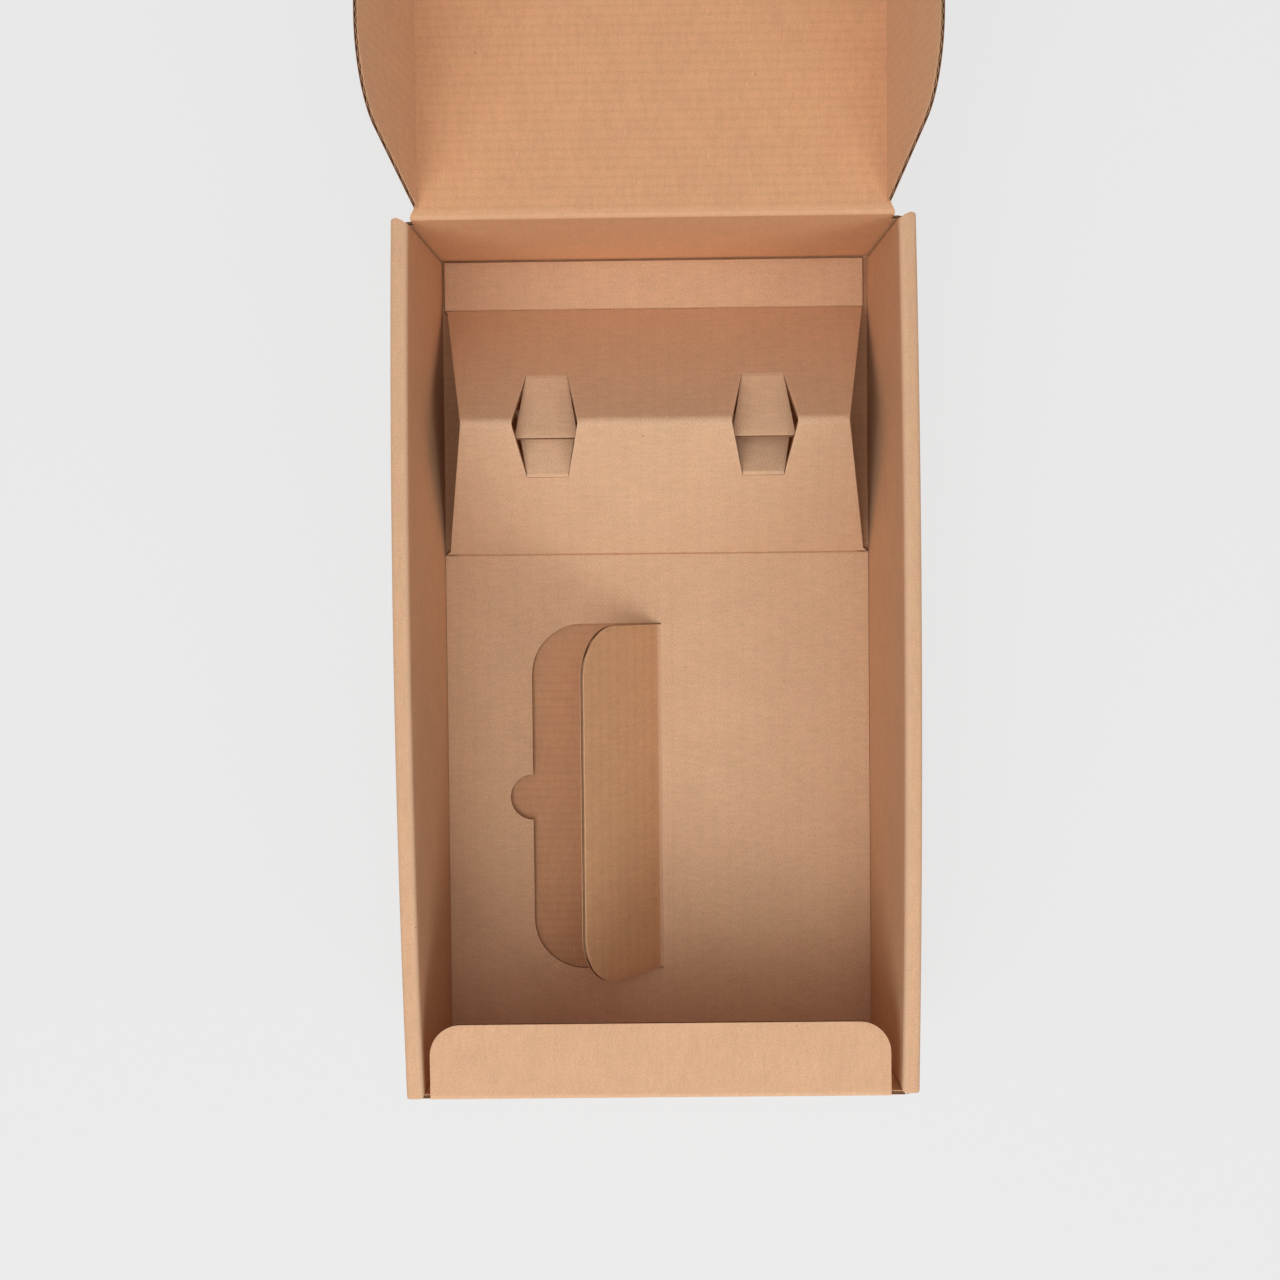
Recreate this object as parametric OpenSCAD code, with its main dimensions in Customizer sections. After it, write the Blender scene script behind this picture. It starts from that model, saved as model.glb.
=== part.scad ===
// Gift box for two bottles, folded from corrugated board: a tray with a hinged lid and flaps,
// and a loose insert that carries the bottle necks and parts the bottles.
// Millimetres, +Z up, +Y towards the lid's hinge. The origin is the middle of the base, on the table.

/* [Board] */
// Thickness of the board of the box
board = 1.7; // [1.2:0.1:2.4]
// Thickness of the board of the insert
insert_board = 2.3; // [1.8:0.1:4]
// Inner radius of a folded edge
fold_in = 0.6; // [0.3:0.1:1.2]
// Air beside a crease, so that the flap swings free
crease_air = 0.35; // [0.3:0.05:0.6]
// Air beside a die-cut edge
cut_air = 0.5; // [0.3:0.1:1]

/* [Tray] */
// Width inside, between the inner side walls at the floor
inside_w = 182; // [160:1:230]
// Length inside, between the front and back walls
inside_l = 332; // [300:1:400]
// Height outside, from the table to the rim of the side walls
wall_h = 88; // [78:1:110]
// Play of a corner tuck between the two layers of a side wall
tuck_play = 1.5; // [0.8:0.1:2.5]
// Length of a corner tuck
tuck_l = 62; // [30:1:100]
// Taper of a corner tuck, at its top and its bottom
tuck_taper = 9; // [0:1:20]
// Outward lean of a side wall at the back end of its rim
lean_back = 1; // [0:0.1:4]
// Outward lean of a side wall at the front end of its rim
lean_front = 0.4; // [0:0.1:4]
// Outward bow of a rim between its ends
rim_bow = 1.8; // [0:0.1:4]
// Setback of the side walls' ends from the faces of the end walls
rim_setback = 1.8; // [0:0.1:2]
// Drop of the end walls' cut shoulders, from the underside of the rim
shoulder_drop = 1.3; // [0.4:0.1:6]
// Length of a lock tab under an inner side wall
lock_l = 34; // [15:1:60]
// Distance between the two lock tabs of a side wall
lock_pitch = 170; // [100:1:220]
// Air round a lock tab in its slot
lock_air = 0.3; // [0.2:0.1:0.5]

/* [Lid] */
// Room between a lid ear's crease and the inner side wall
lid_side_room = 2.5; // [1.6:0.1:5]
// Rise of the open lid above the level, in degrees
lid_rise = 1; // [0:0.5:20]
// Room between an end of the lid's hinge and the inner side wall
hinge_room = 0.1; // [0:0.1:5]
// Room between a closed lid ear and the floor of the insert
ear_floor_room = 8.5; // [5:0.5:30]
// Distance from the lid's hinge to the root of an ear
ear_start = 3.5; // [1.5:0.5:10]
// Room between a closed lid ear and the front flap
ear_end_room = 4; // [2:0.5:20]
// Slope of an ear's ends, in degrees from its crease
ear_slope = 71; // [60:1:85]
// Radius of an ear's rounded corners
ear_r = 33; // [10:1:55]
// Flare of the ears outwards from upright, in degrees
ear_flare = 6.8; // [0:0.1:15]
// Depth of the closing flap at the lid's far edge
closing_d = 38; // [20:1:60]
// Room at each end of the closing flap, inside the lid's ear creases
closing_side_room = 3; // [2:0.5:20]
// Radius of the closing flap's corners
closing_r = 12; // [3:1:18]
// Rise of the closing flap from the lid, in degrees
closing_rise = 70; // [0:5:90]

/* [Front flap] */
// Depth of the front flap, from its crease
front_d = 26; // [15:1:60]
// Room between the front flap and each inner side wall
front_side_room = 3; // [2:0.5:15]
// Radius of the front flap's corners
front_r = 10.5; // [3:0.5:14]
// Air between the front flap and the closed lid
lid_air = 0.3; // [0.3:0.1:2]

/* [Insert] */
// Room between the insert and each inner side wall
insert_side_room = 2; // [1:0.1:5]
// Room between the insert and the front and back walls
insert_end_room = 0.6; // [0.5:0.1:3]
// Depth of the flat strip behind the ridge
strip_d = 21; // [10:1:40]
// Distance between the two feet of the ridge
ridge_span = 102.5; // [80:0.5:120]
// Height of the ridge over its feet
ridge_h = 45; // [35:1:55]
// Step in the insert's edge at the feet of the ridge
ridge_step = 1.6; // [0.5:0.1:5]
// Taper of each edge from the foot to the ridge
ridge_taper = 9.8; // [2:0.1:20]
// Distance between the two bottles' middles
bottle_pitch = 88; // [78:1:100]
// Width of a neck rest at the ridge
neck_w = 26.5; // [20:0.5:34]
// Width of a neck tab at its crease
neck_root_w = 17; // [10:0.5:19]
// Distance from the ridge to a neck tab's crease, seen from above
neck_reach = 20; // [14:0.5:26]
// Slope of the back neck tab, in degrees
back_tab_rise = 17; // [14:1:24]
// Slope of the front neck tab, in degrees
front_tab_rise = 0; // [-10:1:2]

/* [Divider] */
// Width of the divider flap, from its crease to its free edge
divider_w = 53; // [35:1:66]
// Distance from the divider's cut-out to the ends of the floor panel
divider_margin = 30; // [20:1:60]
// Radius of the divider's corners
divider_r = 21; // [5:1:28]
// Radius of the thumb notch beside the divider
thumb_r = 9.6; // [6:0.2:14]
// Rise of the divider flap from the floor, in degrees
divider_rise = 55; // [5:1:90]
// Air under the divider flap when it lies flat
divider_air = 0.3; // [0.2:0.1:1]

/* [Hidden] */

box_kraft = [0.80, 0.60, 0.45];
insert_kraft = [0.78, 0.60, 0.46];

// Facets of a quarter of a fold, and lengths that a bowed side wall is made of
arc_steps = 5;
wall_steps = 12;

fold_r = board + fold_in;
half_board = board / 2;
tuck_room = board + tuck_play;
half_w = inside_w / 2;
half_l = inside_l / 2;
wall_x = half_w + 2 * board + tuck_room;
wall_y = half_l + board;
tuck_air = tuck_play / 4;
tuck_x = wall_x - board - tuck_air;
shoulder_z = wall_h - board - shoulder_drop;
lip_top = wall_h - fold_r;
inner_foot = board + tuck_air;

// The closed lid lies level with the rims, between them
lid_axis_y = half_l + half_board;
lid_axis_z = wall_h - half_board;
lid_w = inside_w - 2 * lid_side_room;
lid_hinge_w = inside_w - 2 * hinge_room;
back_top = lid_axis_z - half_board - crease_air;

// The closing flap folds down in front of the front wall
lid_l = lid_axis_y + wall_y + crease_air + half_board;
closing_w = lid_w - 2 * closing_side_room;

// The front flap swings down behind the front wall, and the closed lid lies over it
front_axis_y = crease_air + half_board - half_l;
front_axis_z = lid_axis_z - board - lid_air;
front_w = inside_w - 2 * front_side_room;
front_top = front_axis_z + half_board;

// The closed ears reach down past the insert's tapered ridge and stop short of the front flap
ear_d = lid_axis_z - board - insert_board - ear_floor_room;
ear_end = lid_axis_y - front_axis_y - front_d - ear_end_room;
ear_mid = (ear_start + ear_end) / 2;

insert_w = inside_w - 2 * insert_side_room;
insert_mid_z = board + insert_board / 2;
insert_back_y = half_l - insert_end_room;
insert_front_y = -insert_back_y;
back_foot_y = insert_back_y - strip_d;
front_foot_y = back_foot_y - ridge_span;
ridge_y = (back_foot_y + front_foot_y) / 2;
ridge_angle = atan(ridge_h / (ridge_span / 2));
tab_root_z = insert_mid_z + ridge_h - neck_reach * tan(ridge_angle);
tab_l = neck_reach / cos(ridge_angle);

divider_axis_z = insert_mid_z + divider_air;
cutout_back_y = front_foot_y - divider_margin;
cutout_front_y = insert_front_y + divider_margin;
cutout_l = cutout_back_y - cutout_front_y;
cutout_mid_y = (cutout_back_y + cutout_front_y) / 2;

// Points of an arc round a centre, from one angle to another
function arc(centre, r, from, to, steps = arc_steps) =
    [for (i = [0:steps]) let (a = from + (to - from) * i / steps) centre + r * [cos(a), sin(a)]];

// Outward shift of a side wall at a place along the tray: nothing at the base's fold, most at the rim
function lean(y) =
    let (k = y / wall_y)
    (lean_back + lean_front + k * (lean_back - lean_front)) / 2 + rim_bow * (1 - k * k);
function leaning(p, y) = [p[0] + lean(y) * max(0, p[1] - fold_r) / (wall_h - fold_r), y, p[1]];

// A line of points moved sideways, with mitred corners, as the face of a folded sheet
function unit(v) = v / norm(v);
function side_of(a, b) = let (d = unit(b - a)) [-d[1], d[0]];
function offset_line(line, shift) =
    [for (i = [0:len(line) - 1])
        let (before = side_of(line[max(i - 1, 0)], line[max(i, 1)]))
        let (after = side_of(line[min(i, len(line) - 2)], line[min(i + 1, len(line) - 1)]))
        line[i] + shift * (before + after) / (1 + before * after)];

function reversed(list) = [for (i = [len(list) - 1:-1:0]) list[i]];

// Surface through rings of points, closed at both ends. A ring runs up one face of a sheet and
// back down the other, so that its points pair off across the sheet's thickness.
module skin(rings) {
    n = len(rings[0]);
    last = (len(rings) - 1) * n;
    sides = [for (i = [0:len(rings) - 2], j = [0:n - 1])
        let (a = i * n + j)
        let (b = i * n + (j + 1) % n)
        each [[a, a + n, b + n], [a, b + n, b]]];
    ends = [for (j = [0:n / 2 - 2])
        let (a = j)
        let (b = n - 1 - j)
        each [
            [a, a + 1, b], [a + 1, b - 1, b],
            [last + b, last + a + 1, last + a], [last + b, last + b - 1, last + a + 1]]];
    polyhedron([for (ring = rings) each ring], concat(sides, ends));
}

// Section of a double side wall: from the base's fold up, over the flat rim and down the inner layer
function wall_section(leg_foot) =
    let (low = [wall_x - fold_r, fold_r])
    let (high = [wall_x - fold_r, lip_top])
    let (inner = [half_w + fold_r, lip_top])
    concat(
        arc(low, fold_r, -90, 0), arc(high, fold_r, 0, 90), arc(inner, fold_r, 90, 180),
        [[half_w, leg_foot], [half_w + board, leg_foot]],
        arc(inner, fold_in, 180, 90), arc(high, fold_in, 90, 0), arc(low, fold_in, 0, -90));

// Double side wall: its section carried along the tray, with the inner layer cut short at both ends
module side_wall() {
    rim_end = wall_y - rim_setback;
    leg_end = half_l - 2 * cut_air;
    lip_foot = lip_top - board;
    legs = [for (i = [0:wall_steps]) [leg_end * (1 - 2 * i / wall_steps), inner_foot]];
    stations = concat(
        [[rim_end, lip_foot], [leg_end + cut_air, lip_foot]], legs,
        [[-leg_end - cut_air, lip_foot], [-rim_end, lip_foot]]);
    skin([for (s = stations) [for (p = wall_section(s[1])) leaning(p, s[0])]]);
}

// Corner tuck: the end of an end wall, folded in between the layers of a side wall
module corner_tuck(root, tip) {
    rings = [for (y = [root, tip])
        let (low = inner_foot + (y == tip ? tuck_taper : 0))
        let (high = shoulder_z - (y == tip ? tuck_taper : 0))
        [for (p = [[tuck_x - board, low], [tuck_x, low], [tuck_x, high], [tuck_x - board, high]])
            leaning(p, y)]];
    skin(root > tip ? rings : reversed(rings));
}

// Wall across an end of the tray, with the fold to the base
module end_wall(width, top, edge_r) {
    low = [wall_y - fold_r, fold_r];
    high = [wall_y - edge_r, top - edge_r];
    section = concat(
        arc(low, fold_r, -90, 0), arc(high, edge_r, 0, 90), [[half_l, top]], arc(low, fold_in, 0, -90));
    rotate([90, 0, 90])
        linear_extrude(width, center = true)
            polygon(section);
}

// Lock tabs under the inner side wall, or the slots in the base that take them
module locks(foot, air) {
    thickness = board - 2 * lock_air + 2 * air;
    for (y = [-1, 1] * lock_pitch / 2)
        translate([half_w + half_board - thickness / 2, y - lock_l / 2 - air, foot])
            cube([thickness, lock_l + 2 * air, inner_foot + board - foot]);
}

module both_sides() {
    children();
    mirror([1, 0, 0]) children();
}

// Plate with a round nose along its crease, lying in +Y from the crease, which is the X axis
module creased_plate(crease_l, thickness) {
    rotate([0, 90, 0])
        cylinder(h = crease_l, d = thickness, center = true, $fn = 48);
    translate([0, 0, -thickness / 2])
        linear_extrude(thickness)
            children();
}

// Outline of a flap with two rounded corners at its free edge
module flap_outline(width, depth, r) {
    polygon(concat(
        [[-width / 2, 0], [width / 2, 0]],
        arc([width / 2 - r, depth - r], r, 0, 90),
        arc([r - width / 2, depth - r], r, 90, 180)));
}

// Outline of a lid ear: sloping ends that turn into the free edge on a wide arc
module ear_outline() {
    bend_d = ear_d - ear_r * (1 - cos(ear_slope));
    bend_l = ear_start + bend_d / tan(ear_slope) + ear_r * sin(ear_slope);
    rear = arc([bend_l, ear_d - ear_r], ear_r, 90 + ear_slope, 90, 2 * arc_steps);
    polygon(concat(
        [[ear_start, 0]], rear,
        [for (p = reversed(rear)) [2 * ear_mid - p[0], p[1]]],
        [[ear_end, 0]]));
}

// Lid ear, standing on its crease at the side of the lid
module lid_ear(side) {
    in_lid()
        translate([side * lid_w / 2, 0, 0])
            rotate([0, side * ear_flare, 0])
                rotate([90, 0, 90])
                    translate([ear_mid, 0, 0])
                        creased_plate(ear_end - ear_start, board)
                            translate([-ear_mid, 0])
                                ear_outline();
}

// Places what is drawn along +Y from the lid's hinge on the open lid
module in_lid() {
    translate([0, lid_axis_y, lid_axis_z])
        rotate([lid_rise, 0, 0])
            children();
}

module tray() {
    color(box_kraft) {
        difference() {
            translate([fold_r - wall_x, fold_r - wall_y, 0])
                cube([2 * (wall_x - fold_r), 2 * (wall_y - fold_r), board]);
            both_sides() locks(-board, lock_air);
        }
        both_sides() {
            side_wall();
            locks(lock_air, 0);
            for (end = [-1, 1])
                corner_tuck(end * (half_l + half_board), end * (half_l - tuck_l));
        }
        end_wall(2 * tuck_x - board, shoulder_z, half_board / 2);
        end_wall(lid_hinge_w, back_top, half_board / 2);
        mirror([0, 1, 0]) {
            end_wall(2 * tuck_x - board, shoulder_z, half_board / 2);
            end_wall(front_w, front_top, board);
        }
    }
}

module lid() {
    hw = lid_w / 2 - half_board - crease_air;
    near = ear_start - cut_air;
    far = lid_l - half_board - crease_air;
    color(box_kraft)
        in_lid()
            creased_plate(lid_hinge_w, board)
                polygon([
                    [-lid_hinge_w / 2, 0], [lid_hinge_w / 2, 0], [hw, near],
                    [hw, far], [-hw, far], [-hw, near]]);
}

module lid_left_ear() {
    color(box_kraft) lid_ear(-1);
}

module lid_right_ear() {
    color(box_kraft) lid_ear(1);
}

module closing_flap() {
    color(box_kraft)
        in_lid()
            translate([0, lid_l, 0])
                rotate([closing_rise, 0, 0])
                    creased_plate(closing_w, board)
                        flap_outline(closing_w, closing_d, closing_r);
}

module front_flap() {
    color(box_kraft)
        translate([0, front_axis_y, front_axis_z])
            creased_plate(front_w, board)
                flap_outline(front_w, front_d, front_r);
}

// Outline of the insert from above: the edges step in at the feet and taper to the ridge
module insert_outline() {
    edge = insert_w / 2;
    foot = edge - ridge_step;
    side = [
        [edge, insert_front_y], [edge, front_foot_y], [foot, front_foot_y + ridge_step],
        [foot - ridge_taper, ridge_y], [foot, back_foot_y - ridge_step], [edge, back_foot_y],
        [edge, insert_back_y]];
    polygon(concat(side, [for (p = reversed(side)) [-p[0], p[1]]]));
}

// Outline of the divider's cut-out, from the crease to the free edge and the thumb notch
module cutout_outline() {
    crease = insert_board / 2 + crease_air;
    translate([0, cutout_mid_y])
        rotate(90)
            translate([0, -crease])
                flap_outline(cutout_l, divider_w + crease + cut_air, divider_r + cut_air);
    translate([-divider_w - cut_air, cutout_mid_y])
        circle(thumb_r, $fn = 64);
}

// Neck tab, drawn in +Y from its crease
module neck_tab() {
    root = insert_board / 3;
    translate([0, 0, -insert_board / 2])
        linear_extrude(insert_board)
            polygon([
                [-neck_root_w / 2, -root], [neck_root_w / 2, -root], [neck_root_w / 2, 0],
                [neck_w / 2 - cut_air, tab_l], [cut_air - neck_w / 2, tab_l], [-neck_root_w / 2, 0]]);
}

module neck_tabs() {
    translate([0, ridge_y + neck_reach, tab_root_z])
        rotate([back_tab_rise, 0, 180])
            neck_tab();
    translate([0, ridge_y - neck_reach, tab_root_z])
        rotate([front_tab_rise, 0, 0])
            neck_tab();
}

module bottle_insert() {
    sheet = [
        [insert_front_y, insert_mid_z], [front_foot_y, insert_mid_z], [ridge_y, insert_mid_z + ridge_h],
        [back_foot_y, insert_mid_z], [insert_back_y, insert_mid_z]];
    half_sheet = insert_board / 2;
    section = concat(offset_line(sheet, -half_sheet), reversed(offset_line(sheet, half_sheet)));
    rest = [
        [neck_w / 2, 0], [neck_root_w / 2, neck_reach], [-neck_root_w / 2, neck_reach],
        [-neck_w / 2, 0], [-neck_root_w / 2, -neck_reach], [neck_root_w / 2, -neck_reach]];
    color(insert_kraft) {
        difference() {
            intersection() {
                rotate([90, 0, 90])
                    linear_extrude(insert_w, center = true)
                        polygon(section);
                linear_extrude(wall_h)
                    insert_outline();
            }
            linear_extrude(wall_h)
                cutout_outline();
            for (x = [-1, 1] * bottle_pitch / 2)
                translate([x, ridge_y])
                    linear_extrude(wall_h)
                        polygon(rest);
        }
        for (x = [-1, 1] * bottle_pitch / 2)
            translate([x, 0, 0])
                neck_tabs();
    }
}

module divider_flap() {
    flap_l = cutout_l - 2 * cut_air;
    color(insert_kraft)
        translate([0, cutout_mid_y, divider_axis_z])
            rotate([0, divider_rise, 0])
                rotate([0, 0, 90])
                    creased_plate(flap_l, insert_board)
                        flap_outline(flap_l, divider_w, divider_r);
}

tray();
lid();
lid_left_ear();
lid_right_ear();
closing_flap();
front_flap();
bottle_insert();
divider_flap();
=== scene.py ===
import math

import bpy
import numpy as np
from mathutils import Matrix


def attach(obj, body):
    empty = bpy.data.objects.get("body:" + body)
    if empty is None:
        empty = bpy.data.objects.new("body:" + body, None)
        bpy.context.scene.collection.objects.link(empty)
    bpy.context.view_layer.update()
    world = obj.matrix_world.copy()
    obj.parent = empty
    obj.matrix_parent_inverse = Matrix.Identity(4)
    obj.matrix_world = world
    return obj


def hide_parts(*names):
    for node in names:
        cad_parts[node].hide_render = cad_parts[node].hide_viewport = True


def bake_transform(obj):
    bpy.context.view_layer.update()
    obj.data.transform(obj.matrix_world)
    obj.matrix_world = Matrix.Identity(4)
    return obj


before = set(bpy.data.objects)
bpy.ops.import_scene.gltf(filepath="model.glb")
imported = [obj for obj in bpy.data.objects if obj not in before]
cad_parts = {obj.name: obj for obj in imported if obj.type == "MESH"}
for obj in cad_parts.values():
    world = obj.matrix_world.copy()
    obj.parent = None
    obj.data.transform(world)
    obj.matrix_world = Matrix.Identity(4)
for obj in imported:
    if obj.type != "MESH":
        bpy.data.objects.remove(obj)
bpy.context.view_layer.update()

# lengths are millimetres in the frame of the CAD model until a mesh is made
millimetre = 0.001
hair = 0.01  # lengths closer than this count as the same
edgeStep = 0.8  # width of the last row or column beside a cut edge
sideNames = ((-1, "left"), (1, "right"))
boxSize = {
    "wallY": 167.7, "wallMiddle": 166.85, "foldIn": 0.6,
    "leanFoot": 2.3, "leanHeight": 85.7, "leanBack": 1.0, "leanFront": 0.4,
    "frontShoulder": 83.6, "backShoulder": 76.0,
    "lidAxisY": 166.85, "lidAxisZ": 87.15, "lidRise": 1.0, "lidHalf": 88.5, "lidLength": 335.75,
    "frontAxisY": -164.8, "frontAxisZ": 85.15,
}


def tint(red, green, blue):  # a screen colour of 0 to 255 as the linear light a shader takes
    c = np.array([red, green, blue]) / 255
    return tuple(np.where(c <= 0.04045, c / 12.92, ((c + 0.055) / 1.055) ** 2.4)) + (1.0,)


def addNode(tree, kind, inputs=None, **settings):  # a node with its settings, constants and links in one call
    made = tree.nodes.new(kind)
    for key, value in settings.items():
        setattr(made, key, value)
    for key, value in (inputs or {}).items():
        if isinstance(value, bpy.types.NodeSocket):
            tree.links.new(value, made.inputs[key])
        else:
            made.inputs[key].default_value = value
    return made


def addMath(tree, kind, first, second=0.0):
    return addNode(tree, "ShaderNodeMath", {0: first, 1: second}, operation=kind).outputs[0]


def addBlend(tree, kind, amount, first, second):
    inputs = {0: amount, 6: first, 7: second}
    return addNode(tree, "ShaderNodeMix", inputs, data_type="RGBA", blend_type=kind).outputs[2]


def addNoise(tree, vector, scale, detail, rough):
    inputs = {"Vector": vector, "Scale": scale, "Detail": detail, "Roughness": rough}
    return addNode(tree, "ShaderNodeTexNoise", inputs)


def addRange(tree, value, limits):  # a value of 0 to 1 moved between two limits
    inputs = {0: value, "To Min": limits[0], "To Max": limits[1]}
    return addNode(tree, "ShaderNodeMapRange", inputs).outputs[0]


def addGrey(tree, shade):
    return addNode(tree, "ShaderNodeCombineColor", {0: shade, 1: shade, 2: shade}).outputs[0]


def addRelief(tree, shader, height, strength, distance):
    inputs = {"Strength": strength, "Distance": distance, "Height": height}
    tree.links.new(addNode(tree, "ShaderNodeBump", inputs).outputs[0], shader.inputs["Normal"])


def startMaterial(name):
    made = bpy.data.materials.new(name)
    made.use_nodes = True
    return made, made.node_tree, made.node_tree.nodes["Principled BSDF"]


# noises have a scale, a detail and a roughness; shares are of the whole brightness
kraftLook = {
    "cloud": (55, 4.0, 0.6), "fibre": (560, 5.0, 0.7), "grain": (1500, 3.0, 0.65), "hue": (150, 3.0, 0.5),
    "fibreStretch": (1.0, 0.28, 1.0), "lineSharp": 3.0, "lineLeast": 0.15,
    "level": 0.785, "cloudShare": 0.14, "fibreShare": 0.3, "hueShare": 0.04, "wearAndHighlightShare": 0.25,
    "speck": 230, "speckOver": 0.975, "speckSize": 0.09, "speckShare": 0.6,
    "fleck": 300, "fleckOver": 0.97, "fleckSize": 0.09, "fleckShare": 0.35,
    "fleckStretch": (1.0, 0.3, 1.0), "fleckTurn": (0.0, 0.0, 0.35),
    "rough": (0.78, 0.96), "shine": 0.22, "grainRelief": 0.6, "relief": (0.22, 0.00012),
    "darkSpeck": tint(104, 68, 46), "paleFleck": tint(232, 200, 166), "wearAndHighlight": tint(236, 198, 164),
}


# kraft liner: pulp clouds and fibres that lie across the flutes, a line over each flute, specks and pale flecks,
# and a pale band that is wear and a painted highlight
def kraftLiner(name, colour, board, lineDepth, grainDepth):
    look = kraftLook
    made, tree, shader = startMaterial(name)

    def times(first, second):
        return addMath(tree, "MULTIPLY", first, second)

    def plus(first, second):
        return addMath(tree, "ADD", first, second)

    blank = addNode(tree, "ShaderNodeAttribute", attribute_name="blank").outputs["Vector"]
    wornAndLit = addNode(tree, "ShaderNodeAttribute", attribute_name="wornAndLit").outputs["Fac"]
    across = addNode(tree, "ShaderNodeSeparateXYZ", {0: blank}).outputs[1]
    cloud = addNoise(tree, blank, *look["cloud"]).outputs[0]
    stretched = addNode(tree, "ShaderNodeMapping", {0: blank, "Scale": look["fibreStretch"]}).outputs[0]
    fibre = addNoise(tree, stretched, *look["fibre"]).outputs[0]
    grain = addNoise(tree, blank, *look["grain"]).outputs[0]

    # flute line: a cosine across the flutes, sharpened, that fades in and out with the clouds
    turn = times(across, 2 * math.pi / (board["pitch"] * millimetre))
    wave = times(plus(addMath(tree, "COSINE", turn), 1.0), 0.5)
    line = times(addMath(tree, "POWER", wave, look["lineSharp"]), plus(cloud, look["lineLeast"]))

    # shade: a level with shares of the clouds, fibres and grain added, less the flute line
    shade = plus(times(cloud, look["cloudShare"]), times(fibre, look["fibreShare"]))
    shade = plus(shade, times(grain, grainDepth))
    shade = addMath(tree, "SUBTRACT", plus(shade, look["level"] - grainDepth / 2), times(line, lineDepth))
    colour = addBlend(tree, "MULTIPLY", 1.0, colour, addGrey(tree, shade))
    hue = addNoise(tree, blank, *look["hue"]).outputs["Color"]
    colour = addBlend(tree, "OVERLAY", look["hueShare"], colour, hue)
    # pale band at folds, creases and cut edges: wear and a painted highlight
    colour = addBlend(tree, "MIX", times(wornAndLit, look["wearAndHighlightShare"]), colour, look["wearAndHighlight"])

    # specks: cells of a Voronoi pattern, of which few hold a dot
    spots = addNode(tree, "ShaderNodeTexVoronoi", {"Vector": blank, "Scale": look["speck"]}).outputs
    chance = addNode(tree, "ShaderNodeSeparateColor", {0: spots["Color"]}).outputs
    few = addMath(tree, "GREATER_THAN", chance[0], look["speckOver"])
    small = addMath(tree, "LESS_THAN", spots["Distance"], times(chance[1], look["speckSize"]))
    colour = addBlend(tree, "MIX", times(times(few, small), look["speckShare"]), colour, look["darkSpeck"])

    # pale flecks: the same with long cells, turned a little
    mapped = {0: blank, "Scale": look["fleckStretch"], "Rotation": look["fleckTurn"]}
    turned = addNode(tree, "ShaderNodeMapping", mapped).outputs[0]
    hairs = addNode(tree, "ShaderNodeTexVoronoi", {"Vector": turned, "Scale": look["fleck"]}).outputs
    chance = addNode(tree, "ShaderNodeSeparateColor", {0: hairs["Color"]}).outputs
    rare = addMath(tree, "GREATER_THAN", chance[2], look["fleckOver"])
    thin = addMath(tree, "LESS_THAN", hairs["Distance"], look["fleckSize"])
    colour = addBlend(tree, "MIX", times(times(rare, thin), look["fleckShare"]), colour, look["paleFleck"])

    tree.links.new(colour, shader.inputs["Base Color"])
    tree.links.new(addRange(tree, grain, look["rough"]), shader.inputs["Roughness"])
    shader.inputs["Specular IOR Level"].default_value = look["shine"]
    addRelief(tree, shader, plus(times(grain, look["grainRelief"]), fibre), *look["relief"])
    return made


coreLook = {
    "pulp": (900.0, 4.0, 0.7), "shade": (0.6, 1.3), "rough": 0.95, "shine": 0.15, "relief": (0.3, 0.0002),
}


# cut edge and fluted middle: rough, mottled pulp
def rawCore(name, colour):
    made, tree, shader = startMaterial(name)
    blank = addNode(tree, "ShaderNodeAttribute", attribute_name="blank").outputs["Vector"]
    pulp = addNoise(tree, blank, *coreLook["pulp"]).outputs[0]
    tone = addGrey(tree, addRange(tree, pulp, coreLook["shade"]))
    tree.links.new(addBlend(tree, "MULTIPLY", 1.0, colour, tone), shader.inputs["Base Color"])
    shader.inputs["Roughness"].default_value = coreLook["rough"]
    shader.inputs["Specular IOR Level"].default_value = coreLook["shine"]
    addRelief(tree, shader, pulp, *coreLook["relief"])
    return made


# the finishes of a cut board are numbered: 0 and 1 its two faces, 2 the fluted middle, 3 a liner's edge
# on the box board the under liner's cut edge takes the dark fluted middle's finish (underEdge 2): painted shade
# along that edge
boxBoard = {
    "slot": "box_board", "thick": 1.7, "pitch": 3.5, "dip": 0.02, "liner": 0.34,
    "press": 0.1, "rubAndHighlight": 0.0, "underEdge": 2, "groove": 3.0, "row": 0.875,
}
insertBoard = {
    "slot": "insert_board", "thick": 2.3, "pitch": 6.0, "dip": 0.045, "liner": 0.5,
    "press": 0.18, "rubAndHighlight": 0.9, "underEdge": 3, "groove": 3.6, "row": 1.0,
}
outerLiner = kraftLiner("outerLiner", tint(220, 174, 137), boxBoard, lineDepth=0.008, grainDepth=0.62)
# shaded copy of the outer liner for the inner layer of the side walls: darker, painted shade
shadedLegLiner = kraftLiner("shadedLegLiner", tint(209, 163, 126), boxBoard, lineDepth=0.008, grainDepth=0.62)
innerLiner = kraftLiner("innerLiner", tint(221, 167, 125), boxBoard, lineDepth=0.07, grainDepth=0.5)
# shaded copy of the inner liner for the tray's base, seen through the divider's cut-out: darker, painted shade
shadedBaseLiner = kraftLiner("shadedBaseLiner", tint(207, 157, 119), boxBoard, lineDepth=0.078, grainDepth=0.5)
insertLiner = kraftLiner("insertLiner", tint(219, 178, 143), insertBoard, lineDepth=0.03, grainDepth=0.76)
# lit copy of the inner liner for the ears: paler, painted light on their inner faces
litEarLiner = kraftLiner("litEarLiner", tint(227, 181, 143), boxBoard, lineDepth=0.06, grainDepth=0.5)
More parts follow.
